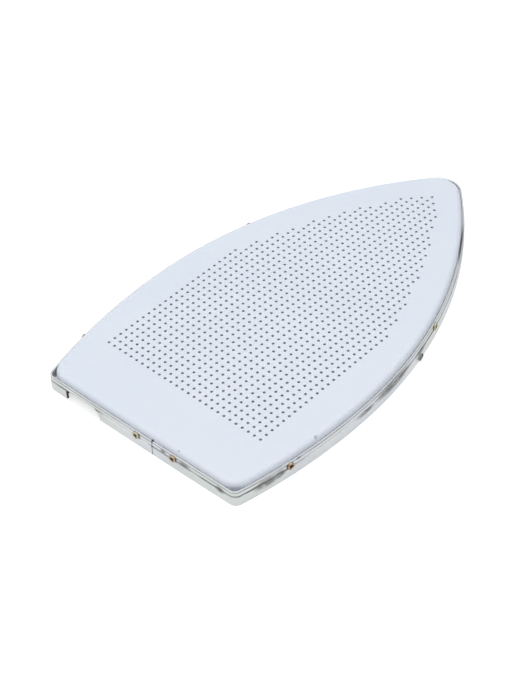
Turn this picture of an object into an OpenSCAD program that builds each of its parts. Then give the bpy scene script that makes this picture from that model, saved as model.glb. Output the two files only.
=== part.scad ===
// Iron shoe: a perforated low-friction sole sheet held in a bent aluminium frame, which
// slips over the sole of a steam iron. It lies sole face up, with the frame's rim on the
// table. X runs across, Y towards the nose, Z up, and the origin is the middle of the base.

/* [Overall size] */
// Length from the heel to the nose tip
length = 246.5; // [240:0.5:254]
// Width at the widest place
width = 147.4; // [145:0.2:150]
// Height from the rim to the sole face
height = 11.2; // [10.8:0.1:12]
// Distance from the heel to the widest place
widest_at = 80.5; // [78:0.5:84]
// Width across the heel, to where the side curves meet it
heel_width = 125.5; // [124:0.5:128]
// How far the middle of the heel bows out
heel_bow = 0.3; // [0.3:0.1:1]
// Radius of the frame's heel corners
heel_corner_r = 4.5; // [4:0.5:6]
// Radius of the frame's nose
nose_r = 13; // [12:0.5:14]

/* [Frame] */
// Thickness of the frame's wall
wall_t = 1.3; // [1.2:0.05:1.4]
// How far the sole face stands above the frame's lip
lip_drop = 2.2; // [2.1:0.05:2.3]
// Height of the flat lower wall, up to the main groove
lower_wall_h = 5.5; // [5.4:0.05:5.6]
// How far the upper band is set back from the lower wall
band_inset = 0.3; // [0.2:0.05:0.4]
// Radius of the main groove
groove_r = 0.4; // [0.3:0.05:0.45]
// Radius of the fine groove under the lip
fine_groove_r = 0.2; // [0.15:0.05:0.25]
// Place of the butt joint along the heel
seam_x = 9.6; // [9:0.1:10.4]
// Width of the butt joint
seam_gap = 0.35; // [0.2:0.05:0.4]
// Diameter of the opening where the strip's cut ends leave the lip
seam_opening_d = 1.2; // [1:0.1:1.4]

/* [Heel notch] */
// Place of the notch's outer side
notch_x = -50; // [-50.5:0.5:-49]
// Width of the notch
notch_w = 23.5; // [22.5:0.5:24.5]
// Height of the notch above the rim
notch_h = 5.9; // [5.8:0.05:6]
// Radius of the notch's corner next to the rivets
notch_r = 5; // [4.5:0.5:5]
// Radius of the notch's outer corner
notch_small_r = 1; // [0.6:0.1:1.5]

/* [Sole sheet] */
// Thickness of the sheet
sheet_t = 1.5; // [1.4:0.1:1.6]
// Outer radius of the bend at the sheet's edge
shoulder_r = 3; // [2.8:0.1:3.2]
// Gap between the sheet's flange and the frame's wall
sheet_gap = 0.05; // [0.02:0.01:0.1]
// Outer radius of the sheet's heel corners
sheet_corner_r = 11; // [10:0.5:12]
// Outer radius of the sheet's nose
sheet_nose_r = 14; // [13:0.5:15]
// Height of the flange's lower edge above the rim
flange_low = 2.8; // [2.7:0.05:2.9]

/* [Steam holes] */
// Diameter of a steam hole
hole_d = 1.5; // [1.3:0.1:1.8]
// Distance between holes, both ways
hole_pitch = 4; // [3.9:0.05:4.1]
// Number of rows of holes
hole_rows = 49; // [45:1:49]
// Most holes on each side of the middle column
side_columns = 13; // [10:1:13]
// Distance from the heel to the first row
first_row_at = 33.5; // [32:0.5:35]
// Half width of the curve that bounds the pattern
pattern_half_w = 63; // [62:0.5:63.5]
// Radius of the curve that bounds the pattern
pattern_r = 304; // [300:1:308]
// Distance from the first row to the pattern's widest place
pattern_widest = 12; // [10:1:14]
// Turn of the punched pattern against the frame, clockwise seen from above
pattern_turn = 1.1; // [0:0.1:1.2]
// Sideways shift of the first row, towards the notch
pattern_shift = 1.6; // [0:0.1:2]

/* [Rivets] */
// Diameter of a rivet's rolled head
rivet_head_d = 4.3; // [4.2:0.05:4.4]
// Outer diameter of a rivet's tube
rivet_tube_d = 2.6; // [2.4:0.1:2.6]
// Bore of a rivet's tube
rivet_bore_d = 1.5; // [1.3:0.1:1.6]
// How far a rolled head stands out
rivet_head_h = 0.6; // [0.55:0.05:0.65]
// Height of the rivets above the rim
rivet_z = 6.75; // [6.7:0.01:6.78]
// Distance between the two heel rivets
heel_rivet_pitch = 24.3; // [23.8:0.1:24.8]
// Place of the rear side rivets along the part
rear_rivet_y = -91.5; // [-94:0.5:-88]
// Place of the front side rivets along the part
front_rivet_y = 26; // [22:0.5:30]

/* [Joint strap] */
// Place of the strap's middle and of its two rivets along the heel
strap_x = 11.2; // [10.8:0.1:11.6]
// Thickness of the strap behind the heel joint
strap_t = 1; // [0.8:0.1:1.2]
// Length of the strap
strap_l = 34; // [32:1:36]
// Height of the strap
strap_h = 5.4; // [5.3:0.05:5.4]
// Height of the strap's lower edge above the rim
strap_low = 3; // [2.9:0.05:3]

/* [Retaining spring] */
// Diameter of the spring wire
wire_d = 0.9; // [0.8:0.1:1]
// Outer diameter of the coil
coil_d = 5; // [4.6:0.1:5.2]
// Number of turns in the coil
coil_turns = 30; // [24:1:36]
// Distance between turns along the coil
coil_pitch = 1.2; // [1.15:0.05:1.4]
// Place of the spring along the part
spring_y = 10; // [6:1:14]
// Height of the spring's axis above the rim
spring_z = 2.7; // [2.7:0.1:2.8]
// Height of the wire where it passes the wall
hook_z = 1.7; // [1.6:0.1:1.8]
// Length of the bent end outside the wall
hook_l = 3; // [2:0.5:4]

/* [Hidden] */
// Smoothness of the long curves and of small round features
$fn = 360;
small_fn = 32;

half_w = width / 2;
nose_y = length / 2;
heel_y = -length / 2;
widest_y = heel_y + widest_at;

// Radius of an arc whose chord's half length and height are given
function arc_radius(half_chord, rise) = (half_chord * half_chord + rise * rise) / (2 * rise);

rear_r = arc_radius(widest_at, half_w - heel_width / 2);
nose_run = nose_y - nose_r - widest_y;
front_r = (half_w * half_w + nose_run * nose_run - nose_r * nose_r) / (2 * (half_w - nose_r));
heel_r = arc_radius(heel_width / 2, heel_bow);

rear_c = [half_w - rear_r, widest_y];
front_c = [half_w - front_r, widest_y];
heel_c = [0, heel_y + heel_r];

// Where two circles cross, on the side of larger X
function crossing(c1, r1, c2, r2) =
    let (
        line = c2 - c1,
        span = norm(line),
        along = (r1 * r1 - r2 * r2 + span * span) / (2 * span),
        off = sqrt(r1 * r1 - along * along),
        u = line / span,
        p = c1 + along * u + off * [-u[1], u[0]],
        q = c1 + along * u - off * [-u[1], u[0]]
    ) p[0] > q[0] ? p : q;

function bearing(from, to) = atan2(to[1] - from[1], to[0] - from[0]);

// Arcs join at angles in steps of a thousandth of a degree
function stepped(a) = round(a * 1000) / 1000;

// The right half of the outline, set in from the frame's face and with its own corner and
// nose radii, as arcs of [centre, radius, first angle, last angle] from the heel to the nose.
// The heel's and the nose's arcs give way a little, so that every arc runs on into the next.
function half_outline(inset, corner_r, tip_r) =
    let (
        rear_in = rear_r - inset,
        front_in = front_r - inset,
        corner_at = crossing(rear_c, rear_in - corner_r, heel_c, heel_r - inset - corner_r),
        heel_a = stepped(bearing(heel_c, corner_at)),
        side_a = stepped(bearing(rear_c, corner_at)),
        corner_c = rear_c + (rear_in - corner_r) * [cos(side_a), sin(side_a)],
        heel_in = corner_r + corner_c[0] / cos(heel_a),
        heel_at = [0, corner_c[1] - (heel_in - corner_r) * sin(heel_a)],
        tip_a = stepped(acos(-front_c[0] / (front_in - tip_r))),
        tip_in = front_in + front_c[0] / cos(tip_a),
        tip_c = [0, widest_y + (front_in - tip_in) * sin(tip_a)]
    ) [
        [heel_at, heel_in, -90, heel_a],
        [corner_c, corner_r, heel_a, side_a],
        [rear_c, rear_in, side_a, 0],
        [front_c, front_in, 0, tip_a],
        [tip_c, tip_in, tip_a, 90]
    ];

function arc_points(arc, steps) = [
    for (i = [0 : steps])
        let (a = arc[2] + (arc[3] - arc[2]) * i / steps)
            arc[0] + arc[1] * [cos(a), sin(a)]
];

function reversed(list) = [for (i = [len(list) - 1 : -1 : 0]) list[i]];

// Moves by whole hundredths first and then by the rest, which keeps every digit
module moved(v) {
    coarse = [for (x = v) round(x * 100) / 100];
    translate(coarse)
        translate(v - coarse)
            children();
}

// Carries a profile along an arc: its X is the way out, its Y is up
module along(arc) {
    moved([arc[0][0], arc[0][1], 0])
        rotate_extrude(angle = arc[3] - arc[2], start = arc[2])
            moved([arc[1], 0])
                children();
}

module around(outline) {
    for (side = [0, 1])
        mirror([side, 0, 0])
            for (arc = outline)
                along(arc)
                    children();
}

// Steps along each arc of the flat middle's edge, which lies inside the flat ring
edge_steps = 12;

module filled(outline) {
    right = [for (arc = outline) each arc_points(arc, edge_steps)];
    left = [for (p = reversed(right)) [-p[0], p[1]]];
    polygon(concat(right, left));
}

// Outline of the frame and place of its faces
frame_outline = half_outline(0, heel_corner_r, nose_r);
lip_z = height - lip_drop;
lip_t = wall_t - band_inset;
fine_groove_z = lip_z - lip_t / 2 - fine_groove_r;

// X of the frame's outer face on its right side, at a given Y
function side_x(y) =
    y < widest_y ? rear_c[0] + sqrt(rear_r * rear_r - pow(y - widest_y, 2))
    : front_c[0] + sqrt(front_r * front_r - pow(y - widest_y, 2));

// Direction in which that face looks
function side_angle(y) =
    y < widest_y ? asin((y - widest_y) / rear_r) : asin((y - widest_y) / front_r);

// Y of the heel's outer face at a given X
function heel_face_y(x) = heel_c[1] - sqrt(heel_r * heel_r - x * x);

// Spare length by which a cutting tool passes the face that it cuts
spare = 1;

module frame_profile() {
    difference() {
        union() {
            translate([-wall_t, 0])
                square([wall_t, lower_wall_h + groove_r]);
            translate([-wall_t, 0])
                square([lip_t, lip_z - lip_t / 2]);
            translate([-wall_t + lip_t / 2, lip_z - lip_t / 2])
                circle(d = lip_t, $fn = small_fn);
        }
        translate([0, lower_wall_h + groove_r])
            circle(r = groove_r, $fn = small_fn);
        translate([-band_inset, fine_groove_z])
            circle(r = fine_groove_r, $fn = small_fn);
    }
}

module notch_shape() {
    right_x = notch_x + notch_w;
    translate([notch_x, -spare])
        square([notch_w, notch_h - notch_r + spare]);
    translate([notch_x, 0])
        square([notch_w - notch_r, notch_h - notch_small_r]);
    translate([notch_x + notch_small_r, 0])
        square([notch_w - notch_r - notch_small_r, notch_h]);
    translate([notch_x + notch_small_r, notch_h - notch_small_r])
        circle(r = notch_small_r, $fn = small_fn);
    translate([right_x - notch_r, notch_h - notch_r])
        circle(r = notch_r, $fn = 4 * small_fn);
}

// Depth of the cut that makes the notch, through the wall and the sheet's flange
notch_depth = heel_bow + wall_t + sheet_gap + sheet_t + 2 * spare;

module heel_notch() {
    translate([0, heel_y + notch_depth - spare, 0])
        rotate([90, 0, 0])
            linear_extrude(notch_depth)
                notch_shape();
}

// The butt joint, and the small opening that the ends' cut corners leave in the lip
module seam_cut() {
    depth = wall_t + 2 * spare;
    translate([seam_x - seam_gap / 2, heel_y - spare, -spare])
        cube([seam_gap, depth, lip_z + 2 * spare]);
    translate([seam_x, heel_y - spare, lip_z])
        rotate([-90, 0, 0])
            cylinder(d = seam_opening_d, h = depth, $fn = small_fn);
}

// Puts a piece that points along +X on the frame's side wall, on one side or the other
module on_side(side, y, z) {
    mirror([side == "left" ? 1 : 0, 0, 0])
        translate([side_x(y), y, z])
            rotate([0, 0, side_angle(y)])
                children();
}

// Puts a piece that points along +X on the heel wall, pointing out of it
module on_heel(x, z) {
    translate([x, heel_face_y(x), z])
        rotate([0, 0, -90 + asin(x / heel_r)])
            children();
}

left_rivet_x = strap_x - heel_rivet_pitch / 2;
right_rivet_x = strap_x + heel_rivet_pitch / 2;
// Depth of the flange's inner face, and of the strap's outer face behind it
flange_depth = wall_t + sheet_gap + sheet_t;
strap_depth = flange_depth + sheet_gap;

module at_each_rivet() {
    on_heel(left_rivet_x, rivet_z)
        children();
    on_heel(right_rivet_x, rivet_z)
        children();
    for (side = ["left", "right"])
        for (y = [rear_rivet_y, front_rivet_y])
            on_side(side, y, rivet_z)
                children();
}

// Hole for a rivet's tube, through the wall, the flange and the strap
module rivet_hole() {
    rotate([0, 90, 0])
        translate([0, 0, -strap_depth - strap_t - spare])
            cylinder(d = rivet_tube_d, h = strap_depth + strap_t + 2 * spare, $fn = 2 * small_fn);
}

// Play of the wire in the holes through the wall
wire_play = 0.4;
wire_hole_d = wire_d + wire_play;

module wire_holes() {
    for (side = ["left", "right"])
        on_side(side, spring_y, hook_z)
            rotate([0, 90, -side_angle(spring_y)])
                translate([0, 0, -wall_t - spare])
                    cylinder(d = wire_hole_d, h = wall_t + 2 * spare, $fn = small_fn);
}

module frame_rim() {
    color("silver")
        difference() {
            around(frame_outline)
                frame_profile();
            heel_notch();
            seam_cut();
            at_each_rivet()
                rivet_hole();
            wire_holes();
        }
}

// Outline of the sheet's flange
sheet_inset = wall_t + sheet_gap;
sheet_outline = half_outline(sheet_inset, sheet_corner_r, sheet_nose_r);
// Width of the flat ring that joins the shoulder and the perforated middle
ring_w = 3;

// Block under a rounded edge, from which the sheet's bent section is cut
module rounded_block(r, top, reach) {
    translate([-reach, flange_low - spare])
        square([reach, top - r - flange_low + spare]);
    translate([-reach, top - 2 * r])
        square([reach - r, 2 * r]);
    translate([-r, top - r])
        circle(r = r, $fn = 2 * small_fn);
}

module tray_profile() {
    reach = shoulder_r + ring_w;
    intersection() {
        difference() {
            rounded_block(shoulder_r, height, reach);
            translate([-sheet_t, 0])
                rounded_block(shoulder_r - sheet_t, height - sheet_t, reach);
        }
        translate([-reach, flange_low])
            square([reach, height]);
    }
}

// Number of holes on each side of the middle column in a given row
function half_count(row) =
    let (run = row * hole_pitch - pattern_widest)
        min(side_columns,
            floor((pattern_half_w - pattern_r + sqrt(pattern_r * pattern_r - run * run)) / hole_pitch));

module steam_holes() {
    translate([-pattern_shift, heel_y + first_row_at])
        rotate(-pattern_turn)
            for (row = [0 : hole_rows - 1])
                for (column = [-half_count(row) : half_count(row)])
                    translate([column * hole_pitch, row * hole_pitch])
                        circle(d = hole_d, $fn = small_fn);
}

// The edge of the flat middle runs halfway along the flat ring
middle_inset = shoulder_r + ring_w / 2;
middle_outline = half_outline(sheet_inset + middle_inset,
    sheet_corner_r - middle_inset, sheet_nose_r - middle_inset);

module sole_sheet() {
    color("aliceblue")
        difference() {
            union() {
                around(sheet_outline)
                    tray_profile();
                translate([0, 0, height - sheet_t])
                    linear_extrude(sheet_t)
                        filled(middle_outline);
            }
            heel_notch();
            at_each_rivet()
                rivet_hole();
            translate([0, 0, height - sheet_t - spare])
                linear_extrude(sheet_t + 2 * spare)
                    steam_holes();
        }
}

// The strap follows the heel's curve behind the flange
strap_r = heel_r - strap_depth;
strap_turn = stepped(strap_l / strap_r * 180 / PI);
strap_from = stepped(asin(strap_x / heel_r) - 90 - strap_turn / 2);

module joint_strap() {
    color("gainsboro")
        difference() {
            along([heel_c, strap_r, strap_from, strap_from + strap_turn])
                translate([-strap_t, strap_low])
                    square([strap_t, strap_h]);
            on_heel(left_rivet_x, rivet_z)
                rivet_hole();
            on_heel(right_rivet_x, rivet_z)
                rivet_hole();
        }
}

// A tubular rivet along X, its rolled head on the wall's face and its rolled tail inside
module rivet(grip) {
    ring_r = rivet_head_h / 2;
    ring_at = rivet_head_d / 2 - ring_r;
    color("darkgoldenrod")
        rotate([0, 90, 0])
            rotate_extrude($fn = 2 * small_fn) {
                translate([rivet_bore_d / 2, -grip])
                    square([(rivet_tube_d - rivet_bore_d) / 2, grip]);
                for (z = [0, -grip - rivet_head_h]) {
                    translate([rivet_bore_d / 2 + ring_r, z])
                        square([ring_at - rivet_bore_d / 2 - ring_r, rivet_head_h]);
                    translate([ring_at, z + ring_r])
                        circle(r = ring_r, $fn = small_fn);
                    translate([rivet_bore_d / 2 + ring_r, z + ring_r])
                        circle(r = ring_r, $fn = small_fn);
                }
            }
}

// Room left at a rivet's tail for the bend of the sheet above it
tail_room = 0.1;

module heel_rivet(x) {
    on_heel(x, rivet_z)
        rivet(strap_depth + strap_t + tail_room);
}

module side_rivet(side, y) {
    on_side(side, y, rivet_z)
        rivet(flange_depth + tail_room);
}

module heel_rivet_left() {
    heel_rivet(left_rivet_x);
}

module heel_rivet_right() {
    heel_rivet(right_rivet_x);
}

module rear_rivet_left() {
    side_rivet("left", rear_rivet_y);
}

module rear_rivet_right() {
    side_rivet("right", rear_rivet_y);
}

module front_rivet_left() {
    side_rivet("left", front_rivet_y);
}

module front_rivet_right() {
    side_rivet("right", front_rivet_y);
}

// The spring's wire as points of [x, y, z, roll], where roll turns the wire about itself
coil_steps = 10;
coil_r = (coil_d - wire_d) / 2;
coil_half_l = coil_turns * coil_pitch / 2;
end_steps = 6;
hook_steps = 5;
wire_sides = 6;

// Half the coil, from its middle to the right, and the half turn that runs in to its axis
half_coil = concat(
    [for (i = [0 : coil_turns * coil_steps / 2])
        let (a = 360 * i / coil_steps)
            [coil_pitch * i / coil_steps, coil_r * sin(a), coil_r * cos(a), a]],
    [for (i = [1 : end_steps])
        let (
            t = i / end_steps,
            a = 180 * (coil_turns + t),
            r = coil_r * (1 - t)
        ) [coil_half_l + coil_d * t, r * sin(a), r * cos(a), a]]
);
coil_end_roll = 180 * (coil_turns + 1);

// The hook outside the wall runs back along the wall, clear of it by hook_gap
hook_gap = 0.15;
hook_bend_r = 1.2;
hook_drop = 0.4;
wall_x = side_x(spring_y);
wall_a = side_angle(spring_y);
bend_x = wall_x + (wire_d / 2 + hook_gap - hook_bend_r * (1 - sin(wall_a))) / cos(wall_a);

function hook_point(a) =
    [bend_x + hook_bend_r * sin(a), -hook_bend_r * (1 - cos(a)), hook_z - spring_z];

// The leg from the coil to the wall, which bends down leg_run before the flange, and the hook
leg_run = 2;
leg_end_x = wall_x - flange_depth - leg_run;
tail_points = concat(
    [[leg_end_x, 0, hook_z - spring_z]],
    [for (i = [0 : hook_steps])
        hook_point((90 - wall_a) * i / hook_steps)],
    [hook_point(90 - wall_a) + [hook_l * sin(wall_a), -hook_l * cos(wall_a), -hook_drop]]
);

wire = concat(
    [for (p = reversed(tail_points)) [-p[0], p[1], p[2], -coil_end_roll]],
    [for (p = reversed(half_coil)) [-p[0], -p[1], p[2], -p[3]]],
    [for (i = [1 : len(half_coil) - 1]) half_coil[i]],
    [for (p = tail_points) [p[0], p[1], p[2], coil_end_roll]]
);

function wire_point(i) = [wire[i][0], wire[i][1], wire[i][2]];

function unit(v) = v / norm(v);

module retaining_spring() {
    last = len(wire) - 1;
    points = [
        for (i = [0 : last])
            let (
                d = unit(wire_point(min(i + 1, last)) - wire_point(max(i - 1, 0))),
                out = [0, sin(wire[i][3]), cos(wire[i][3])],
                u = unit(out - (out * d) * d),
                v = cross(d, u)
            )
                for (k = [0 : wire_sides - 1])
                    let (a = 360 * k / wire_sides)
                        wire_point(i) + wire_d / 2 * (cos(a) * u + sin(a) * v)
    ];
    faces = concat(
        [[for (k = [0 : wire_sides - 1]) k]],
        [for (i = [0 : last - 1])
            for (k = [0 : wire_sides - 1])
                let (n = (k + 1) % wire_sides, a = i * wire_sides, b = a + wire_sides)
                    each [[a + n, a + k, b + k], [a + n, b + k, b + n]]],
        [[for (k = [wire_sides - 1 : -1 : 0]) last * wire_sides + k]]
    );
    color("dimgray")
        translate([0, spring_y, spring_z])
            polyhedron(points, faces);
}

frame_rim();
sole_sheet();
joint_strap();
heel_rivet_left();
heel_rivet_right();
rear_rivet_left();
rear_rivet_right();
front_rivet_left();
front_rivet_right();
retaining_spring();
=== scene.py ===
import math

import bmesh
import bpy
from mathutils import Matrix, Vector, geometry

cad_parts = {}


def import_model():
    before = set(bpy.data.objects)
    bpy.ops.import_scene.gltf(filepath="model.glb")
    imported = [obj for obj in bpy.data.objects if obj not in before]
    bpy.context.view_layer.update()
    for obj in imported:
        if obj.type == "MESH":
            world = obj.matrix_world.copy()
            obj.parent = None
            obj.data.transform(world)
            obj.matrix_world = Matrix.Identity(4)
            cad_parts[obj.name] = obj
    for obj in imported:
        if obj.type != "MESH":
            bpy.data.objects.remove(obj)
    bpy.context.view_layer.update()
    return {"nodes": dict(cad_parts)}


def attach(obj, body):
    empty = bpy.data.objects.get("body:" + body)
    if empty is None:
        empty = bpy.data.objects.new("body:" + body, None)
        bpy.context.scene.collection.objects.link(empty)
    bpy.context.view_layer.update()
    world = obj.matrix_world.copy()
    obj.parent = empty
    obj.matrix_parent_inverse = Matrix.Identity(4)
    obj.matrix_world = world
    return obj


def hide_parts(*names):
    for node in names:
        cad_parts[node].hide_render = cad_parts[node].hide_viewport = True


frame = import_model()
MM = 0.001

# Sizes in millimetres: those of the solids, with the three overall ones a hair less
LENGTH, WIDTH, HEIGHT = 246.44, 147.35, 11.199
WIDEST_AT, HEEL_WIDTH, HEEL_BOW = 80.5, 125.5, 0.3
HEEL_CORNER_R, NOSE_R = 4.5, 13.0
WALL_T, LIP_DROP, LOWER_WALL_H, BAND_INSET = 1.3, 2.2, 5.5, 0.3
GROOVE_R, FINE_GROOVE_R = 0.4, 0.2
SEAM_X, SEAM_GAP, SEAM_OPENING_D = 9.6, 0.35, 1.2
NOTCH_X, NOTCH_W, NOTCH_H, NOTCH_R, NOTCH_SMALL_R = -50.0, 23.5, 5.9, 5.0, 1.0
SHEET_T, SHOULDER_R, SHEET_GAP = 1.5, 3.0, 0.05
SHEET_CORNER_R, SHEET_NOSE_R, FLANGE_LOW = 11.0, 14.0, 2.8
HOLE_D, HOLE_PITCH, HOLE_ROWS, SIDE_COLUMNS = 1.5, 4.0, 49, 13
FIRST_ROW_AT, PATTERN_HALF_W, PATTERN_R = 33.5, 63.0, 304.0
PATTERN_WIDEST, PATTERN_TURN, PATTERN_SHIFT = 12.0, 1.1, 1.6
RIVET_HEAD_D, RIVET_TUBE_D, RIVET_BORE_D = 4.3, 2.6, 1.5
RIVET_HEAD_H, RIVET_Z, HEEL_RIVET_PITCH = 0.6, 6.75, 24.3
REAR_RIVET_Y, FRONT_RIVET_Y, TAIL_ROOM = -91.5, 26.0, 0.1
STRAP_X, STRAP_T = 11.2, 1.0
WIRE_D, COIL_D, COIL_TURNS, COIL_PITCH = 0.9, 5.0, 30, 1.2
SPRING_Y, SPRING_Z, HOOK_Z, HOOK_L = 10.0, 2.7, 1.7, 3.0
HOOK_BEND_R, HOOK_GAP, HOOK_DROP, WIRE_PLAY = 1.2, 0.15, 0.4, 0.4

HALF_W = WIDTH / 2
NOSE_Y, HEEL_Y = LENGTH / 2, -LENGTH / 2
WIDEST_Y = HEEL_Y + WIDEST_AT
LIP_Z = HEIGHT - LIP_DROP
LIP_T = WALL_T - BAND_INSET
FLANGE_DEPTH = WALL_T + SHEET_GAP + SHEET_T
STRAP_DEPTH = FLANGE_DEPTH + SHEET_GAP
GROOVE_Z = LOWER_WALL_H + GROOVE_R
FINE_GROOVE_Z = LIP_Z - LIP_T / 2 - FINE_GROOVE_R
# How far a cutter runs past what it cuts, and how far the drills go in and out from the wall
SPARE = 1.0
RIVET_DRILL_IN, WIRE_DRILL_IN, WIRE_DRILL_OUT = 6.0, 2.5, 1.5


# ---- Outline ----

def arc_radius(half_chord, rise):
    return (half_chord ** 2 + rise ** 2) / (2 * rise)


REAR_R = arc_radius(WIDEST_AT, HALF_W - HEEL_WIDTH / 2)
NOSE_RUN = NOSE_Y - NOSE_R - WIDEST_Y
FRONT_R = (HALF_W ** 2 + NOSE_RUN ** 2 - NOSE_R ** 2) / (2 * (HALF_W - NOSE_R))
HEEL_R = arc_radius(HEEL_WIDTH / 2, HEEL_BOW)
REAR_C = (HALF_W - REAR_R, WIDEST_Y)
FRONT_C = (HALF_W - FRONT_R, WIDEST_Y)
HEEL_C = (0.0, HEEL_Y + HEEL_R)


def crossing(c1, r1, c2, r2):
    """Where two circles cross, on the side of larger X."""
    dx, dy = c2[0] - c1[0], c2[1] - c1[1]
    span = math.hypot(dx, dy)
    along = (r1 * r1 - r2 * r2 + span * span) / (2 * span)
    off = math.sqrt(r1 * r1 - along * along)
    ux, uy = dx / span, dy / span
    ends = [(c1[0] + along * ux - s * off * uy, c1[1] + along * uy + s * off * ux)
            for s in (1, -1)]
    return max(ends)


def half_outline(inset, corner_r, tip_r):
    """The right half as arcs of (centre, radius, first angle, last angle), from heel to nose."""
    rear_in, front_in = REAR_R - inset, FRONT_R - inset
    at = crossing(REAR_C, rear_in - corner_r, HEEL_C, HEEL_R - inset - corner_r)
    heel_a = math.atan2(at[1] - HEEL_C[1], at[0] - HEEL_C[0])
    side_a = math.atan2(at[1] - REAR_C[1], at[0] - REAR_C[0])
    tip_a = math.acos(-FRONT_C[0] / (front_in - tip_r))
    tip_c = (0.0, WIDEST_Y + (front_in - tip_r) * math.sin(tip_a))
    return [(HEEL_C, HEEL_R - inset, -math.pi / 2, heel_a),
            (at, corner_r, heel_a, side_a),
            (REAR_C, rear_in, side_a, 0.0),
            (FRONT_C, front_in, 0.0, tip_a),
            (tip_c, tip_r, tip_a, math.pi / 2)]


def walk(outline, step, small_step):
    """Points (x, y, out x, out y) right round, from the middle of the heel."""
    right = []
    for (cx, cy), r, a0, a1 in outline:
        n = max(4, math.ceil(r * (a1 - a0) / (small_step if r < 30 else step)))
        for i in range(n):
            a = a0 + (a1 - a0) * i / n
            right.append((cx + r * math.cos(a), cy + r * math.sin(a), math.cos(a), math.sin(a)))
    tip = outline[-1]
    top = (0.0, tip[0][1] + tip[1], 0.0, 1.0)
    left = [(-x, y, -nx, ny) for x, y, nx, ny in reversed(right[1:])]
    return right + [top] + left


def side_x(y):
    c, r = (REAR_C, REAR_R) if y < WIDEST_Y else (FRONT_C, FRONT_R)
    return c[0] + math.sqrt(r * r - (y - WIDEST_Y) ** 2)


def side_angle(y):
    return math.asin((y - WIDEST_Y) / (REAR_R if y < WIDEST_Y else FRONT_R))


def heel_face_y(x):
    return HEEL_C[1] - math.sqrt(HEEL_R ** 2 - x * x)


# ---- Mesh helpers ----

def link(obj):
    bpy.context.scene.collection.objects.link(obj)
    return obj


def mesh_object(name, verts, faces):
    """A new object from points in millimetres."""
    mesh = bpy.data.meshes.new(name)
    mesh.from_pydata([tuple(c * MM for c in v) for v in verts], [], faces)
    mesh.update()
    obj = link(bpy.data.objects.new(name, mesh))
    fix_normals(obj)
    return obj


def fix_normals(obj, weld=None):
    bm = bmesh.new()
    bm.from_mesh(obj.data)
    if weld:
        bmesh.ops.remove_doubles(bm, verts=bm.verts, dist=weld)
        bmesh.ops.dissolve_degenerate(bm, edges=bm.edges, dist=weld)
    bmesh.ops.recalc_face_normals(bm, faces=bm.faces)
    bm.to_mesh(obj.data)
    bm.free()


def swept(name, track, profile):
    """A closed profile of (out, up) points carried round the track."""
    verts = [(x + nx * out, y + ny * out, up) for x, y, nx, ny in track for out, up in profile]
    faces = []
    n, p = len(track), len(profile)
    for i in range(n):
        j = (i + 1) % n
        for k in range(p):
            m = (k + 1) % p
            faces.append((i * p + k, j * p + k, j * p + m, i * p + m))
    return mesh_object(name, verts, faces)


def rounded(profile, radii, steps=3):
    """The profile with each corner that has a radius in radii turned into a small arc."""
    out = []
    n = len(profile)
    for i, p in enumerate(profile):
        r = radii.get(i)
        if not r:
            out.append(p)
            continue
        p, a, b = Vector(p), Vector(profile[i - 1]), Vector(profile[(i + 1) % n])
        u, v = (a - p).normalized(), (b - p).normalized()
        half = u.angle(v) / 2
        reach = r / math.tan(half)
        c = p + (u + v).normalized() * (r / math.sin(half))
        s, e = p + u * reach - c, p + v * reach - c
        turn = math.atan2(s.x * e.y - s.y * e.x, s.dot(e))
        for k in range(steps + 1):
            t = turn * k / steps
            q = c + Vector((s.x * math.cos(t) - s.y * math.sin(t),
                            s.x * math.sin(t) + s.y * math.cos(t)))
            out.append((q.x, q.y))
    return out


def arc(cx, cy, r, a0, a1, steps):
    return [(cx + r * math.cos(math.radians(a0 + (a1 - a0) * i / steps)),
             cy + r * math.sin(math.radians(a0 + (a1 - a0) * i / steps)))
            for i in range(steps + 1)]


def prism(name, points, matrix, low, high):
    """A cutter: an outline in the matrix's XY plane, from low to high along its Z."""
    n = len(points)
    verts = [tuple(matrix @ Vector((x, y, z))) for z in (low, high) for x, y in points]
    faces = [tuple(range(n))[::-1], tuple(range(n, 2 * n))]
    faces += [(i, (i + 1) % n, n + (i + 1) % n, n + i) for i in range(n)]
    return mesh_object(name, verts, faces)


def cut(obj, cutters):
    """Cuts the cutters out of the object for good."""
    group = bpy.data.collections.new("cutters")
    bpy.context.scene.collection.children.link(group)
    for c in cutters:
        group.objects.link(c)
    mod = obj.modifiers.new("cut", "BOOLEAN")
    mod.operation = "DIFFERENCE"
    mod.solver = "EXACT"
    mod.operand_type = "COLLECTION"
    mod.collection = group
    graph = bpy.context.evaluated_depsgraph_get()
    graph.update()
    made = bpy.data.meshes.new_from_object(obj.evaluated_get(graph))
    obj.modifiers.clear()
    old, obj.data = obj.data, made
    bpy.data.meshes.remove(old)
    for c in cutters:
        bpy.data.objects.remove(c)
    bpy.data.collections.remove(group)


def finish_piece(obj, mat, sharp=40, weighted=True):
    """Smooth shading with sharp corners, the material, and the body it rides on."""
    obj.data.materials.clear()
    obj.data.materials.append(mat)
    obj.data.shade_smooth()
    obj.data.set_sharp_from_angle(angle=math.radians(sharp))
    if weighted:
        mod = obj.modifiers.new("even_shading", "WEIGHTED_NORMAL")
        mod.keep_sharp = True
    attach(obj, "root")


# ---- Material helpers ----

def new_material(name):
    mat = bpy.data.materials.new(name)
    mat.use_nodes = True
    tree = mat.node_tree
    tree.nodes.clear()
    out = tree.nodes.new("ShaderNodeOutputMaterial")
    shader = tree.nodes.new("ShaderNodeBsdfPrincipled")
    tree.links.new(shader.outputs[0], out.inputs[0])
    return mat, tree, shader


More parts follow.
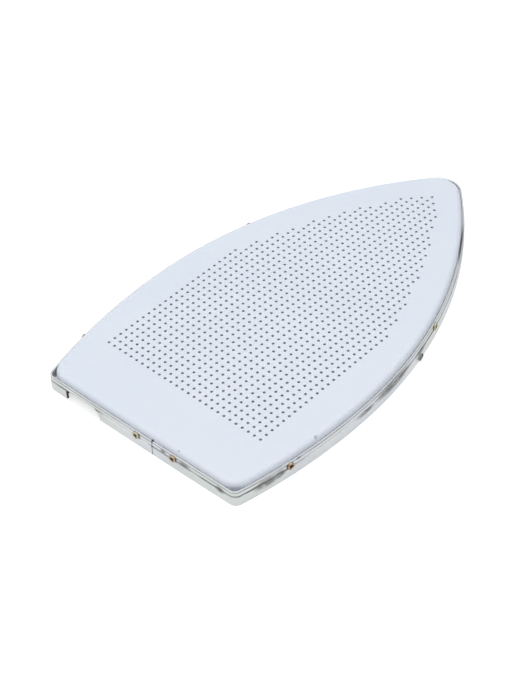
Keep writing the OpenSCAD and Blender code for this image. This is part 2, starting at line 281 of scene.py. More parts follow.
def add(tree, kind, inputs=None, **settings):
    """A node with its settings, and its inputs set to numbers or linked to other outputs."""
    node = tree.nodes.new("ShaderNode" + kind)
    for key, value in settings.items():
        setattr(node, key, value)
    for key, value in (inputs or {}).items():
        socket = node.inputs[key]
        if isinstance(value, bpy.types.NodeSocket):
            tree.links.new(value, socket)
        else:
            socket.default_value = value
    return node


def place(tree):
    return add(tree, "TexCoord").outputs["Object"]


def stretched(tree, scale):
    return add(tree, "Mapping", {"Vector": place(tree), "Scale": scale}).outputs[0]


def grain(tree, scale, detail=4.0, rough=0.55, vector=None):
    return add(tree, "TexNoise", {"Vector": vector or place(tree), "Scale": scale,
                                  "Detail": detail, "Roughness": rough}).outputs["Fac"]


def between(tree, value, low, high, to_low=0.0, to_high=1.0, soft=True):
    node = add(tree, "MapRange", {"Value": value, "From Min": low, "From Max": high,
                                  "To Min": to_low, "To Max": to_high})
    node.clamp = True
    if soft:
        node.interpolation_type = "SMOOTHSTEP"
    return node.outputs[0]


def maths(tree, operation, a, b=0.0):
    return add(tree, "Math", {0: a, 1: b}, operation=operation).outputs[0]


def blend(tree, fac, a, b):
    node = tree.nodes.new("ShaderNodeMix")
    node.data_type = "RGBA"
    for socket, value in ((node.inputs[0], fac), (node.inputs[6], a), (node.inputs[7], b)):
        if isinstance(value, bpy.types.NodeSocket):
            tree.links.new(value, socket)
        else:
            socket.default_value = value if isinstance(value, float) else (*value, 1.0)
    return node.outputs[2]


def bump(tree, height, strength, distance, normal=None):
    inputs = {"Height": height, "Strength": strength, "Distance": distance}
    if normal:
        inputs["Normal"] = normal
    return add(tree, "Bump", inputs).outputs[0]


def near(tree, x, y, z, along, reach, tall, deep=4.0):
    """From 1 at a place on the wall to 0 round it: along is the wall's direction there in
    degrees, reach how far the spot goes that way, tall how far it goes up and down and deep
    how far it goes across."""
    spot = add(tree, "VectorMath", {0: place(tree), 1: (x * MM, y * MM, z * MM)},
               operation="SUBTRACT").outputs[0]
    turned = add(tree, "VectorRotate", {"Vector": spot, "Angle": -math.radians(along)},
                 rotation_type="Z_AXIS").outputs[0]
    scaled = add(tree, "VectorMath",
                 {0: turned, 1: (1 / (reach * MM), 1 / (deep * MM), 1 / (tall * MM))},
                 operation="MULTIPLY").outputs[0]
    far = add(tree, "VectorMath", {0: scaled}, operation="LENGTH").outputs["Value"]
    return between(tree, far, 0.3, 1.0, 1.0, 0.0)


def most(tree, masks):
    first = masks[0]
    for mask in masks[1:]:
        first = maths(tree, "MAXIMUM", first, mask)
    return first


def height(tree):
    return add(tree, "SeparateXYZ", {0: place(tree)}).outputs[2]


def line_at(tree, z, half):
    """From 1 at a height in millimetres to 0 a little more than half above and below it."""
    off = maths(tree, "ABSOLUTE", maths(tree, "SUBTRACT", height(tree), z * MM))
    return between(tree, off, 0.6 * half * MM, 1.3 * half * MM, 1.0, 0.0)


def facing_out(tree):
    """1 on faces that look away from the middle of the part, 0 on those inside it."""
    normal = add(tree, "NewGeometry").outputs["True Normal"]
    away = add(tree, "VectorMath", {0: normal, 1: place(tree)}, operation="DOT_PRODUCT")
    return maths(tree, "GREATER_THAN", away.outputs["Value"], 0.0)


# ---- Materials ----

# Rubbed places on the frame: (x, y, height, direction of the wall, reach, tall)
SCUFFS = [
    (67.1, -105.4, 5.3, 78.0, 10.0, 3.6),
    (68.7, -98.0, 5.6, 79.5, 5.0, 3.0),
    (53.4, -123.2, 5.9, 0.0, 3.6, 2.6),
    (73.6, -41.3, 5.4, 90.0, 9.0, 1.8),
    (72.4, -18.5, 6.0, 96.0, 21.0, 3.6),
    (68.0, 8.5, 5.4, 103.0, 8.0, 2.6),
    (17.0, -123.2, 7.2, 0.0, 2.4, 1.3),
    (30.2, -123.2, 7.2, 0.0, 5.6, 1.9),
    (70.6, -86.5, 8.3, 82.0, 2.6, 0.8),
]
# Stretches of the wall where the grooves' painted shade and dirt are fainter
FAINT_GROOVES = [(72.5, -49.0, 5.9, 90.0, 48.0, 6.0, 12.0), (-8.0, -123.2, 5.9, 0.0, 22.0, 6.0)]
# Painted shade on a stretch of the gap between the lip and the sheet, near the nose
DARK_GAP = (36.6, 82.5, 9.1, 122.2, 22.0, 1.1, 0.8)
# A nick and a small mark on the sheet's shoulder, with how far each one goes inwards
SHEET_MARKS = [(69.1, -73.0, 10.5, 84.0, 1.5, 1.2, 1.1), (25.3, -120.3, 10.6, 0.0, 1.0, 0.8, 0.6)]
# How far the walls of the steam holes are painted darker than the face as painted shade, and the
# heights between which that sets in
HOLE_SHADE, HOLE_SHADE_LOW, HOLE_SHADE_HIGH = 0.6, 9.6, 9.9
# How much of a rivet's head is painted dark at its core, as painted shade
RIVET_CORE = 0.37
# Colours: painted shade and dirt in the cuts, painted shade in the gap, painted shade and dirt in
# the grooves
CUT_DIRT_AND_SHADE, GAP_PAINTED_SHADE, GROOVE_SHADE_AND_DIRT = (0.05, 0.04, 0.035), (0.10, 0.10, 0.11), (0.13, 0.13, 0.13)
# How far from the notch's end its painted shade reaches, and from the joint's middle its dirt
NOTCH_SHADE_REACH, SEAM_DIRT_FULL, SEAM_DIRT_END = 0.03, 0.12, 0.32


def cut_dirt_and_shade(tree):
    """Painted shade on the cut ends at the notch's outer side and in the butt joint's opening, and
    dirt in the butt joint.
    """
    across = add(tree, "SeparateXYZ", {0: place(tree)})
    rear = maths(tree, "LESS_THAN", across.outputs[1], (HEEL_Y + FLANGE_DEPTH + 0.3) * MM)
    rear = maths(tree, "MULTIPLY", rear, maths(tree, "LESS_THAN", across.outputs[2], LIP_Z * MM))
    from_notch = maths(tree, "ABSOLUTE",
                       maths(tree, "SUBTRACT", across.outputs[0], NOTCH_X * MM))
    in_notch = maths(tree, "LESS_THAN", across.outputs[2], NOTCH_H * MM)
    at_notch = maths(tree, "MULTIPLY", in_notch,
                     maths(tree, "LESS_THAN", from_notch, NOTCH_SHADE_REACH * MM))
    from_seam = maths(tree, "ABSOLUTE", maths(tree, "SUBTRACT", across.outputs[0], SEAM_X * MM))
    at_seam = between(tree, from_seam, SEAM_DIRT_FULL * MM, SEAM_DIRT_END * MM, 0.75, 0.0)
    lines = maths(tree, "MULTIPLY", rear, maths(tree, "MAXIMUM", at_notch, at_seam))
    opening = near(tree, SEAM_X, HEEL_Y + 1.3, LIP_Z - 0.1, 0.0, 1.0, 0.8, 1.3)
    return maths(tree, "MAXIMUM", lines, opening)


def sheet_material():
    mat, tree, shader = new_material("pale_sheet")
    cloud = grain(tree, 22.0, 3.0)
    tint = grain(tree, 9.0, 2.0, vector=stretched(tree, (1.0, 0.6, 1.0)))
    fine = grain(tree, 900.0, 3.0)
    base = blend(tree, between(tree, cloud, 0.3, 0.7), (0.735, 0.782, 0.866), (0.760, 0.802, 0.880))
    base = blend(tree, between(tree, tint, 0.42, 0.7, 0.0, 0.35), base, (0.765, 0.790, 0.870))
    base = blend(tree, between(tree, fine, 0.55, 0.8, 0.0, 0.10), base, (0.66, 0.70, 0.78))
    # Painted shade in the crevice along the lip, patchy from place to place
    patch = between(tree, grain(tree, 160.0, 3.0), 0.35, 0.65, 0.0, 0.3)
    low = between(tree, height(tree), LIP_Z * MM, (LIP_Z + 0.4) * MM, 1.0, 0.0)
    crevice_shade = maths(tree, "MULTIPLY", maths(tree, "MULTIPLY", low, facing_out(tree)), patch)
    base = blend(tree, crevice_shade, base, (0.40, 0.41, 0.42))
    # Painted shade on the walls of the steam holes, which are darker than the face
    up = add(tree, "SeparateXYZ", {0: add(tree, "NewGeometry").outputs["True Normal"]}).outputs[2]
    steep = between(tree, maths(tree, "ABSOLUTE", up), 0.3, 0.6, 1.0, 0.0)
    high = between(tree, height(tree), HOLE_SHADE_LOW * MM, HOLE_SHADE_HIGH * MM)
    base = blend(tree, maths(tree, "MULTIPLY", maths(tree, "MULTIPLY", steep, high), HOLE_SHADE),
                 base, (0.30, 0.33, 0.36))
    speck = between(tree, grain(tree, 1500.0, 2.0), 0.40, 0.55)
    marks = maths(tree, "MULTIPLY", most(tree, [near(tree, *at) for at in SHEET_MARKS]), speck)
    base = blend(tree, marks, base, (0.16, 0.15, 0.14))
    # Painted shade in the gap between the lip and the sheet, near the nose
    base = blend(tree, near(tree, *DARK_GAP), base, GAP_PAINTED_SHADE)
    # Painted shade at the notch's end and in the joint's opening, and dirt in the joint
    base = blend(tree, cut_dirt_and_shade(tree), base, CUT_DIRT_AND_SHADE)
    tree.links.new(base, shader.inputs["Base Color"])
    rough = between(tree, grain(tree, 60.0, 5.0), 0.3, 0.7, 0.34, 0.46)
    tree.links.new(rough, shader.inputs["Roughness"])
    shader.inputs["Specular IOR Level"].default_value = 0.4
    shader.inputs["Subsurface Weight"].default_value = 0.30
    shader.inputs["Subsurface Radius"].default_value = (1.0, 1.0, 1.0)
    shader.inputs["Subsurface Scale"].default_value = 0.002
    slow = grain(tree, 28.0, 2.0)
    lines = grain(tree, 1.0, 3.0, vector=stretched(tree, (60.0, 1400.0, 60.0)))
    first = bump(tree, slow, 0.35, 0.0006)
    second = bump(tree, lines, 0.05, 0.0002, first)
    third = bump(tree, marks, 0.5, 0.0002, second)
    tree.links.new(bump(tree, fine, 0.06, 0.0002, third), shader.inputs["Normal"])
    return mat


def frame_material():
    mat, tree, shader = new_material("frame_aluminium")
    lines = grain(tree, 1.0, 4.0, 0.6, vector=stretched(tree, (45.0, 45.0, 3200.0)))
    broad = grain(tree, 26.0, 3.0)
    hue = grain(tree, 14.0, 1.0, vector=stretched(tree, (1.0, 1.0, 0.5)))
    base = blend(tree, between(tree, hue, 0.40, 0.62), (0.560, 0.585, 0.573), (0.565, 0.580, 0.613))
    base = blend(tree, between(tree, broad, 0.35, 0.7, 0.0, 0.5), base, (0.66, 0.67, 0.68))
    base = blend(tree, between(tree, lines, 0.52, 0.75, 0.0, 0.35), base, (0.45, 0.46, 0.47))
    # The strip's inner face is painted paler: painted light that lifts the shade in the gap next to
    # the sheet
    base = blend(tree, facing_out(tree), (0.80, 0.81, 0.82), base)
    # The lip is painted darker than the wall, painted shade that tones down its highlight, and is
    # rougher
    lip = between(tree, height(tree), (LIP_Z - LIP_T / 2) * MM, (LIP_Z - 0.1) * MM)
    base = blend(tree, maths(tree, "MULTIPLY", lip, 0.7), base, (0.40, 0.41, 0.43))
    # Painted shade and dirt in both grooves, fainter along the listed stretches of the wall
    faint_grooves = most(tree, [near(tree, *at) for at in FAINT_GROOVES])
    patch = between(tree, grain(tree, 90.0, 3.0), 0.3, 0.6, 0.55, 1.0)
    groove_shade_strength = maths(tree, "MULTIPLY", patch, between(tree, faint_grooves, 0.0, 0.6, 1.0, 0.15))
    groove = maths(tree, "MULTIPLY", line_at(tree, GROOVE_Z, GROOVE_R + 0.05), groove_shade_strength)
    fine = maths(tree, "MULTIPLY", line_at(tree, FINE_GROOVE_Z, FINE_GROOVE_R + 0.05), patch)
    dirt_and_shade = maths(tree, "MULTIPLY", maths(tree, "MAXIMUM", groove, fine), facing_out(tree))
    base = blend(tree, maths(tree, "MULTIPLY", dirt_and_shade, 0.85), base, GROOVE_SHADE_AND_DIRT)
    # Rubbed marks, broken into streaks along the strip
    streak = grain(tree, 1.0, 5.0, 0.65, vector=stretched(tree, (170.0, 170.0, 1100.0)))
    rubbed = maths(tree, "MULTIPLY", most(tree, [near(tree, *at) for at in SCUFFS]),
                   between(tree, streak, 0.32, 0.52))
    rubbed = maths(tree, "MULTIPLY", rubbed, facing_out(tree))
    base = blend(tree, maths(tree, "MULTIPLY", rubbed, 0.76), base, (0.13, 0.125, 0.12))
    # Painted shade in the gap between the lip and the sheet, near the nose
    base = blend(tree, near(tree, *DARK_GAP), base, GAP_PAINTED_SHADE)
    # Painted shade at the notch's end and in the joint's opening, and dirt in the joint
    base = blend(tree, cut_dirt_and_shade(tree), base, CUT_DIRT_AND_SHADE)
    tree.links.new(base, shader.inputs["Base Color"])
    shader.inputs["Metallic"].default_value = 1.0
    worn = maths(tree, "MULTIPLY", maths(tree, "MAXIMUM", rubbed, dirt_and_shade), 0.2)
    worn = maths(tree, "ADD", worn, maths(tree, "MULTIPLY", lip, 0.12))
    rough = maths(tree, "ADD", between(tree, lines, 0.3, 0.75, 0.34, 0.50), worn)
    tree.links.new(rough, shader.inputs["Roughness"])
    first = bump(tree, lines, 0.25, 0.0001)
    tree.links.new(bump(tree, rubbed, 0.3, 0.0001, first), shader.inputs["Normal"])
    return mat


def rivet_material():
    mat, tree, shader = new_material("rivet_brass")
    tone = grain(tree, 120.0, 1.0)
    dirt_and_shade = grain(tree, 900.0, 3.0)
    olive = []
    for rivet_name in ("heel_rivet_left", "front_rivet_right"):
        m = RIVETS[rivet_name][0]
        olive.append(near(tree, m[0][3], m[1][3], m[2][3], 0.0, 14.0, 14.0, 14.0))
    fresh = blend(tree, between(tree, tone, 0.4, 0.6), (0.46, 0.36, 0.25), (0.42, 0.31, 0.22))
    base = blend(tree, most(tree, olive), fresh, (0.47, 0.44, 0.30))
    base = blend(tree, between(tree, dirt_and_shade, 0.42, 0.7, 0.0, 0.75), base, (0.10, 0.06, 0.03))
    # Painted shade: the bore and the ring's inner slope are painted near black
    cores = []
    for m, _ in RIVETS.values():
        way = math.degrees(math.atan2(m[1][2], m[0][2])) + 90.0
        core = RIVET_HEAD_D * RIVET_CORE
        cores.append(near(tree, m[0][3], m[1][3], m[2][3], way, core, core, 9.0))
    base = blend(tree, most(tree, cores), base, (0.030, 0.018, 0.010))
    tree.links.new(base, shader.inputs["Base Color"])
    shader.inputs["Metallic"].default_value = 1.0
    tree.links.new(between(tree, dirt_and_shade, 0.3, 0.7, 0.34, 0.55), shader.inputs["Roughness"])
    tree.links.new(bump(tree, dirt_and_shade, 0.2, 0.0001), shader.inputs["Normal"])
    return mat


def strap_material():
    mat, tree, shader = new_material("strap_aluminium")
    lines = grain(tree, 1.0, 4.0, vector=stretched(tree, (60.0, 60.0, 2600.0)))
    spots = grain(tree, 300.0, 4.0)
    base = blend(tree, between(tree, lines, 0.35, 0.7), (0.60, 0.61, 0.62), (0.48, 0.49, 0.50))
    base = blend(tree, between(tree, spots, 0.6, 0.75, 0.0, 0.5), base, (0.35, 0.35, 0.35))
    tree.links.new(base, shader.inputs["Base Color"])
    shader.inputs["Metallic"].default_value = 1.0
    tree.links.new(between(tree, spots, 0.3, 0.7, 0.38, 0.55), shader.inputs["Roughness"])
    tree.links.new(bump(tree, lines, 0.2, 0.0001), shader.inputs["Normal"])
    return mat


def spring_material():
    mat, tree, shader = new_material("spring_steel")
    spots = grain(tree, 700.0, 4.0)
    base = blend(tree, between(tree, spots, 0.4, 0.7), (0.16, 0.16, 0.17), (0.09, 0.085, 0.08))
    tree.links.new(base, shader.inputs["Base Color"])
    shader.inputs["Metallic"].default_value = 1.0
    tree.links.new(between(tree, spots, 0.3, 0.7, 0.30, 0.5), shader.inputs["Roughness"])
    tree.links.new(bump(tree, spots, 0.12, 0.0001), shader.inputs["Normal"])
    return mat


# ---- Cutters that the frame and the sheet share ----

def on_side(side, y, z):
    """The matrix whose Z points out of the side wall there."""
    a = side_angle(y)
    out = Vector((math.cos(a), math.sin(a), 0.0))
    at = Vector((side_x(y), y, z))
    if side == "left":
        out.x, at.x = -out.x, -at.x
    return facing(out, at)


def on_heel(x, z):
    """The matrix whose Z points out of the heel wall there."""
    a = -math.pi / 2 + math.asin(x / HEEL_R)
    return facing(Vector((math.cos(a), math.sin(a), 0.0)), Vector((x, heel_face_y(x), z)))


def axes_matrix(x, y, z, at):
    """The matrix with these axes and this place."""
    m = Matrix.Identity(4)
    for r in range(3):
        m[r][0], m[r][1], m[r][2], m[r][3] = x[r], y[r], z[r], at[r]
    return m


def facing(out, at):
    """The matrix whose Z is out, with Y up and the place at."""
    up = Vector((0.0, 0.0, 1.0))
    return axes_matrix(up.cross(out), up, out, at)


RIVETS = {
    "heel_rivet_left": (on_heel(STRAP_X - HEEL_RIVET_PITCH / 2, RIVET_Z), STRAP_DEPTH + STRAP_T),
    "heel_rivet_right": (on_heel(STRAP_X + HEEL_RIVET_PITCH / 2, RIVET_Z), STRAP_DEPTH + STRAP_T),
    "rear_rivet_left": (on_side("left", REAR_RIVET_Y, RIVET_Z), FLANGE_DEPTH),
    "rear_rivet_right": (on_side("right", REAR_RIVET_Y, RIVET_Z), FLANGE_DEPTH),
    "front_rivet_left": (on_side("left", FRONT_RIVET_Y, RIVET_Z), FLANGE_DEPTH),
    "front_rivet_right": (on_side("right", FRONT_RIVET_Y, RIVET_Z), FLANGE_DEPTH),
}


SHEET, FRAME, BRASS = sheet_material(), frame_material(), rivet_material()
STRAP, STEEL = strap_material(), spring_material()


def ring_points(r, n):
    return [(r * math.cos(2 * math.pi * i / n), r * math.sin(2 * math.pi * i / n))
            for i in range(n)]


def rivet_holes():
    return [prism("hole", ring_points(RIVET_TUBE_D / 2, 32), m, -RIVET_DRILL_IN, SPARE)
            for m, _ in RIVETS.values()]


def notch_cutter():
    right = NOTCH_X + NOTCH_W
    points = [(NOTCH_X, -SPARE), (right, -SPARE), (right, NOTCH_H - NOTCH_R)]
    points += arc(right - NOTCH_R, NOTCH_H - NOTCH_R, NOTCH_R, 0, 90, 16)[1:]
    points += arc(NOTCH_X + NOTCH_SMALL_R, NOTCH_H - NOTCH_SMALL_R, NOTCH_SMALL_R, 90, 180, 6)
    m = Matrix(((1, 0, 0, 0), (0, 0, 1, HEEL_Y), (0, 1, 0, 0), (0, 0, 0, 1)))
    return prism("notch", points, m, -SPARE, HEEL_BOW + FLANGE_DEPTH + SPARE)


# ---- Frame ----

def frame_piece():
    edge = math.degrees(math.acos(BAND_INSET / GROOVE_R))
    profile = [(-WALL_T, 0.0), (0.0, 0.0), (0.0, LOWER_WALL_H)]
    corners = {0: 0.15, 1: 0.2}
    profile += arc(0.0, GROOVE_Z, GROOVE_R, -90, -180 - (90 - edge), 8)[1:]
    profile += [(-BAND_INSET, FINE_GROOVE_Z - FINE_GROOVE_R)]
    profile += arc(-BAND_INSET, FINE_GROOVE_Z, FINE_GROOVE_R, -90, -270, 6)[1:]
    profile += arc(-WALL_T + LIP_T / 2, LIP_Z - LIP_T / 2, LIP_T / 2, 0, 180, 12)[1:]
    profile = rounded(profile, corners)
    track = walk(half_outline(0.0, HEEL_CORNER_R, NOSE_R), 1.5, 0.5)
    obj = swept("frame_strip", track, profile)
    seam = Matrix.Translation((SEAM_X, HEEL_Y, 0.0))
    half = SEAM_GAP / 2
    cutters = rivet_holes() + [notch_cutter()]
    deep = WALL_T + SPARE
    cutters.append(prism("seam", [(-half, -SPARE), (half, -SPARE), (half, deep), (-half, deep)],
                         seam, -SPARE, LIP_Z + SPARE))
    opening = facing(Vector((0.0, -1.0, 0.0)), Vector((SEAM_X, HEEL_Y, LIP_Z)))
    cutters.append(prism("opening", ring_points(SEAM_OPENING_D / 2, 20), opening, -deep, SPARE))
    for s in (1, -1):
        out = Vector((float(s), 0.0, 0.0))
        at = Vector((s * side_x(SPRING_Y), SPRING_Y, HOOK_Z))
        cutters.append(prism("wire_hole", ring_points((WIRE_D + WIRE_PLAY) / 2, 20),
                             facing(out, at), -WIRE_DRILL_IN, WIRE_DRILL_OUT))
    cut(obj, cutters)
    fix_normals(obj, weld=1e-6)
    finish_piece(obj, FRAME)
    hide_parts("frame_rim")


# ---- Sole sheet ----

def half_count(row):
    run = row * HOLE_PITCH - PATTERN_WIDEST
    reach = PATTERN_HALF_W - PATTERN_R + math.sqrt(PATTERN_R ** 2 - run ** 2)
    return min(SIDE_COLUMNS, math.floor(reach / HOLE_PITCH))


def hole_centres():
    a = math.radians(-PATTERN_TURN)
    out = []
    for row in range(HOLE_ROWS):
        for column in range(-half_count(row), half_count(row) + 1):
            x, y = column * HOLE_PITCH, row * HOLE_PITCH
            out.append((x * math.cos(a) - y * math.sin(a) - PATTERN_SHIFT,
                        x * math.sin(a) + y * math.cos(a) + HEEL_Y + FIRST_ROW_AT))
    return out


HOLE_SIDES = 14
# Rounded upper edge of a steam hole: how much wider and how deep each ring of points is
HOLE_RINGS = [(0.09, 0.0), (0.03, 0.03), (0.0, 0.09)]


def plate(loop, centres, radius):
    """Triangles of a flat plate inside the loop with a hole at each centre, and for each of
    their points which one it is in the order loop, then holes."""
    points = [Vector(p) for p in loop]
    edges = [(i, (i + 1) % len(loop)) for i in range(len(loop))]
    for cx, cy in centres:
        first = len(points)
        for x, y in ring_points(radius, HOLE_SIDES):
            points.append(Vector((cx + x, cy + y)))
        edges += [(first + i, first + (i + 1) % HOLE_SIDES) for i in range(HOLE_SIDES)]
    corners, _, faces, origin = geometry.delaunay_2d_cdt(points, edges, [], 1, 1e-7)[:4]
    which = [olds[0] for olds in origin]

    def in_hole(face):
        holes = {(which[i] - len(loop)) // HOLE_SIDES for i in face}
        return len(holes) == 1 and holes.pop() >= 0

    return [tuple(p) for p in corners], [f for f in faces if not in_hole(f)], which


def sheet_piece():
    outline = half_outline(WALL_T + SHEET_GAP, SHEET_CORNER_R, SHEET_NOSE_R)
    track = walk(outline, 1.5, 0.6)
    inner_r = SHOULDER_R - SHEET_T
    turn = HEIGHT - SHOULDER_R
    profile = [(-SHEET_T, FLANGE_LOW), (0.0, FLANGE_LOW)]
    profile += arc(-SHOULDER_R, turn, SHOULDER_R, 0, 90, 12)
    profile += arc(-SHOULDER_R, turn, inner_r, 90, 0, 8)
    obj = swept("sole_sheet_skin", track, profile)
    cut(obj, rivet_holes() + [notch_cutter()])
    bm = bmesh.new()
    bm.from_mesh(obj.data)
    step = 1e-5
    levels = (HEIGHT * MM, (HEIGHT - SHEET_T) * MM)
    seat = [f for f in bm.faces if abs(f.normal.z) < 0.1
            and all(min(abs(v.co.z - z) for z in levels) < step for v in f.verts)]
    bmesh.ops.delete(bm, geom=seat, context="FACES_ONLY")
    loop = [(x - nx * SHOULDER_R, y - ny * SHOULDER_R) for x, y, nx, ny in track]
    centres = hole_centres()
    mm = Matrix.Scale(MM, 4)

    def lay(radius, z, up):
        points, faces, which = plate(loop, centres, radius)
        verts = [bm.verts.new(mm @ Vector((x, y, z))) for x, y in points]
        first = len(loop)
        rings = {old: new for new, old in enumerate(which)}
        for f in faces:
            bm.faces.new([verts[i] for i in (f if up else reversed(f))])
        return [[verts[rings[first + h * HOLE_SIDES + i]] for i in range(HOLE_SIDES)]
                for h in range(len(centres))]

    upper = lay(HOLE_D / 2 + HOLE_RINGS[0][0], HEIGHT, True)
    lower = lay(HOLE_D / 2, HEIGHT - SHEET_T, False)
    for (cx, cy), top_ring, low_ring in zip(centres, upper, lower):
        before = top_ring
        for wider, deep in HOLE_RINGS[1:]:
            ring = [bm.verts.new(mm @ Vector((cx + x, cy + y, HEIGHT - deep)))
                    for x, y in ring_points(HOLE_D / 2 + wider, HOLE_SIDES)]
            for i in range(HOLE_SIDES):
                j = (i + 1) % HOLE_SIDES
                bm.faces.new((before[i], before[j], ring[j], ring[i]))
            before = ring
        for i in range(HOLE_SIDES):
            j = (i + 1) % HOLE_SIDES
            bm.faces.new((before[i], before[j], low_ring[j], low_ring[i]))
    bmesh.ops.remove_doubles(bm, verts=bm.verts, dist=1e-6)
    loose = [e for e in bm.edges if not e.link_faces]
    bmesh.ops.delete(bm, geom=loose, context="EDGES")
    bmesh.ops.recalc_face_normals(bm, faces=bm.faces)
    bm.to_mesh(obj.data)
    bm.free()
    finish_piece(obj, SHEET, sharp=50)
    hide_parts("sole_sheet")


# ---- Rivets ----

def lathe(name, profile, matrix, sides):
    """A closed profile of (radius, height) turned about the matrix's Z."""
    verts, faces = [], []
    p = len(profile)
    for i in range(sides):
        a = 2 * math.pi * i / sides
        for r, z in profile:
            verts.append(tuple(matrix @ Vector((r * math.cos(a), r * math.sin(a), z))))
    for i in range(sides):
        j = (i + 1) % sides
        for k in range(p):
            m = (k + 1) % p
            faces.append((i * p + k, j * p + k, j * p + m, i * p + m))
    return mesh_object(name, verts, faces)


# Nothing of the left side's heads shows over the far edge, so they are rolled flatter
FLAT_HEAD_H = {"rear_rivet_left": 0.25, "front_rivet_left": 0.25}


def rivet_piece(name, matrix, grip, head_h):
    bore, tube, head = RIVET_BORE_D / 2, RIVET_TUBE_D / 2, RIVET_HEAD_D / 2
    middle, half = (bore + head) / 2, (head - bore) / 2
    steps, fullness = 14, 0.65

    def end(base, way, high):
        """The rolled ring from its outer edge over to the bore, away from the grip."""
        turns = [math.pi * k / steps for k in range(steps + 1)]
        ring = [(middle + half * math.cos(t),
                 base + way * high * max(0.0, math.sin(t)) ** fullness) for t in turns]
        return [(tube, base)] + ring

    profile = end(0.0, 1, head_h) + list(reversed(end(-grip, -1, RIVET_HEAD_H)))
    obj = lathe(name, profile, matrix, 40)
    finish_piece(obj, BRASS, sharp=60)
    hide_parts(name.removesuffix("_brass"))


# ---- Retaining spring ----

def spring_track():
    """The wire's middle line as (point, roll) from the left hook to the right one."""
    coil_r = (COIL_D - WIRE_D) / 2
    half_l = COIL_TURNS * COIL_PITCH / 2
    steps, end_steps = 28, 14
    half = []
    for i in range(COIL_TURNS * steps // 2 + 1):
        a = 2 * math.pi * i / steps
        half.append((Vector((COIL_PITCH * i / steps, coil_r * math.sin(a),
                             coil_r * math.cos(a))), a))
    for i in range(1, end_steps + 1):
        t = i / end_steps
        a = math.pi * (COIL_TURNS + t)
        r = coil_r * (1 - t)
        half.append((Vector((half_l + COIL_D * t, r * math.sin(a), r * math.cos(a))), a))
    roll = math.pi * (COIL_TURNS + 1)
    wall_x, wall_a = side_x(SPRING_Y), side_angle(SPRING_Y)
    bend_r = HOOK_BEND_R
    off_wall = WIRE_D / 2 + HOOK_GAP - bend_r * (1 - math.sin(wall_a))
    bend_x = wall_x + off_wall / math.cos(wall_a)
    low = HOOK_Z - SPRING_Z
    tail = [Vector((wall_x - FLANGE_DEPTH - 2.0, 0.0, low))]
    last_a = math.pi / 2 - wall_a
    for i in range(11):
        a = last_a * i / 10
        tail.append(Vector((bend_x + bend_r * math.sin(a), -bend_r * (1 - math.cos(a)), low)))
    tail.append(tail[-1] + Vector((HOOK_L * math.sin(wall_a), -HOOK_L * math.cos(wall_a),
                                   -HOOK_DROP)))
    line = [(Vector((-p.x, p.y, p.z)), -roll) for p in reversed(tail)]
    line += [(Vector((-p.x, -p.y, p.z)), -a) for p, a in reversed(half)]
    line += half[1:] + [(p, roll) for p in tail]
    return line


def spring_piece():
    line = spring_track()
    sides = 12
    at = Vector((0.0, SPRING_Y, SPRING_Z))
    verts, faces = [], []
    for i, (p, roll) in enumerate(line):
        d = (line[min(i + 1, len(line) - 1)][0] - line[max(i - 1, 0)][0]).normalized()
        out = Vector((0.0, math.sin(roll), math.cos(roll)))
        u = (out - out.dot(d) * d).normalized()
        v = d.cross(u)
        for k in range(sides):
            a = 2 * math.pi * k / sides
            verts.append(tuple(at + p + WIRE_D / 2 * (math.cos(a) * u + math.sin(a) * v)))
    for i in range(len(line) - 1):
        for k in range(sides):
            m = (k + 1) % sides
            faces.append((i * sides + k, i * sides + m, (i + 1) * sides + m, (i + 1) * sides + k))
    faces.append(tuple(range(sides)))
    faces.append(tuple((len(line) - 1) * sides + k for k in range(sides)))
    obj = mesh_object("spring_wire", verts, faces)
    finish_piece(obj, STEEL, sharp=50, weighted=False)
    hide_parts("retaining_spring")


frame_piece()
sheet_piece()
for rivet_name, (rivet_at, rivet_depth) in RIVETS.items():
    rivet_piece(rivet_name + "_brass", rivet_at, rivet_depth + TAIL_ROOM,
                FLAT_HEAD_H.get(rivet_name, RIVET_HEAD_H))
spring_piece()

strap = frame["nodes"]["joint_strap"]
strap.data.materials.clear()
strap.data.materials.append(STRAP)


# ---- Floor, light and camera ----

# Light that the floor adds to what the camera and the shiny surfaces see of it, and the area
# under the shoe that goes without: half its width and how far it runs to the nose and the heel
FLOOR_GLOW = 0.62
DIM_HALF_W, DIM_NOSE, DIM_HEEL = 0.060, 0.112, -0.118
# Width over which that area's edge at the heel fades
DIM_FADE = 0.003
FLOOR_HALF_W, FLOOR_TONE = 3.0, (0.60, 0.60, 0.60, 1.0)
# Light from all round: on the part, and as seen directly
SKY, SKY_SEEN = 0.33, 1.0
WHITE = (1.0, 1.0, 1.0, 1.0)
LAMP_COLOR = (0.95, 0.98, 1.0)
# The photo's camera: the directions of its right, its down and its view, its place in metres,
# and its lens and sensor in millimetres
CAMERA_RIGHT = Vector((0.742478, 0.667671, -0.054234))
CAMERA_DOWN = Vector((0.429994, -0.537118, -0.725679))
CAMERA_AHEAD = Vector((-0.513645, 0.515481, -0.685893))
CAMERA_AT = Vector((0.453003, -0.491811, 0.608447))
CAMERA_LENS, CAMERA_SENSOR = 91.64, 36.0


def seen_directly(tree):
    """1 for rays of the camera and of shiny or clear surfaces, 0 for the rest."""
    ray = add(tree, "LightPath")
    return most(tree, [ray.outputs["Is " + kind + " Ray"]
                       for kind in ("Camera", "Glossy", "Transmission")])


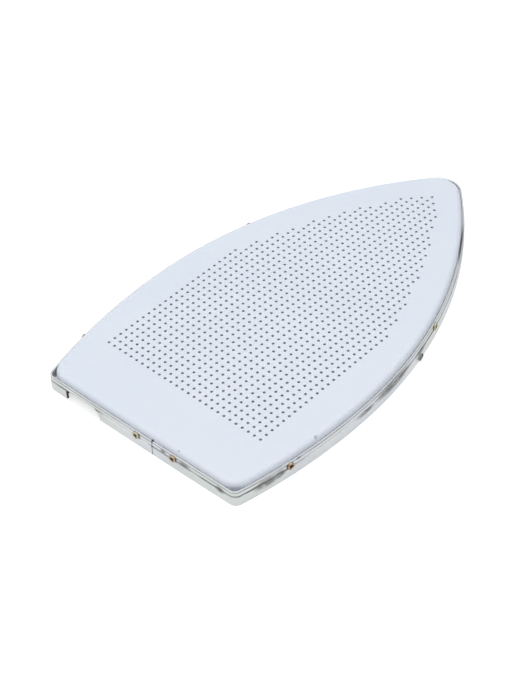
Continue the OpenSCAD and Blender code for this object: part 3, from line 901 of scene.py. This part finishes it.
def floor():
    w = FLOOR_HALF_W
    mesh = bpy.data.meshes.new("floor")
    mesh.from_pydata([(-w, -w, 0), (w, -w, 0), (w, w, 0), (-w, w, 0)], [], [(0, 1, 2, 3)])
    obj = link(bpy.data.objects.new("floor", mesh))
    mat = bpy.data.materials.new("pale_floor")
    mat.use_nodes = True
    tree = mat.node_tree
    tree.nodes.clear()
    out = tree.nodes.new("ShaderNodeOutputMaterial")
    diffuse = add(tree, "BsdfDiffuse", {"Color": FLOOR_TONE})
    # No glow on the floor inside the shoe, where the holes look down on it
    split = add(tree, "SeparateXYZ", {0: place(tree)})
    across = maths(tree, "ABSOLUTE", maths(tree, "DIVIDE", split.outputs["X"], DIM_HALF_W))
    along = maths(tree, "MAXIMUM", maths(tree, "DIVIDE", split.outputs["Y"], DIM_NOSE), 0.0)
    far = maths(tree, "ADD", across, maths(tree, "MULTIPLY", along, along))
    behind = between(tree, split.outputs["Y"], DIM_HEEL, DIM_HEEL + DIM_FADE, 1.0, 0.0)
    open_floor = maths(tree, "MAXIMUM", between(tree, far, 0.95, 1.0), behind)
    shown = maths(tree, "MULTIPLY", seen_directly(tree), open_floor)
    glow = add(tree, "Emission",
               {"Color": WHITE, "Strength": maths(tree, "MULTIPLY", shown, FLOOR_GLOW)})
    both = add(tree, "AddShader", {0: diffuse.outputs[0], 1: glow.outputs[0]})
    tree.links.new(both.outputs[0], out.inputs[0])
    obj.data.materials.append(mat)


def world():
    scene = bpy.context.scene
    scene.world = bpy.data.worlds.new("studio")
    scene.world.use_nodes = True
    tree = scene.world.node_tree
    tree.nodes.clear()
    out = tree.nodes.new("ShaderNodeOutputWorld")
    strength = between(tree, seen_directly(tree), 0.0, 1.0, SKY, SKY_SEEN, soft=False)
    back = add(tree, "Background", {"Color": WHITE, "Strength": strength})
    tree.links.new(back.outputs[0], out.inputs[0])


def lamp(name, at, size, power):
    """A square soft light that looks at the part."""
    data = bpy.data.lights.new(name, "AREA")
    data.shape = "SQUARE"
    data.size = size
    data.energy = power
    data.color = LAMP_COLOR
    obj = link(bpy.data.objects.new(name, data))
    obj.location = at
    obj.rotation_euler = (-Vector(at)).to_track_quat("-Z", "Y").to_euler()


def camera():
    data = bpy.data.cameras.new("camera")
    data.sensor_width, data.lens = CAMERA_SENSOR, CAMERA_LENS
    obj = link(bpy.data.objects.new("camera", data))
    obj.matrix_world = axes_matrix(CAMERA_RIGHT, -CAMERA_DOWN, -CAMERA_AHEAD, CAMERA_AT)
    bpy.context.scene.camera = obj


floor()
world()
lamp("key", at=(-0.12, -0.20, 1.0), size=1.6, power=10.8)
lamp("back", at=(0.20, 0.60, 1.0), size=1.0, power=2.0)
camera()
bpy.context.scene.view_settings.view_transform = "Standard"
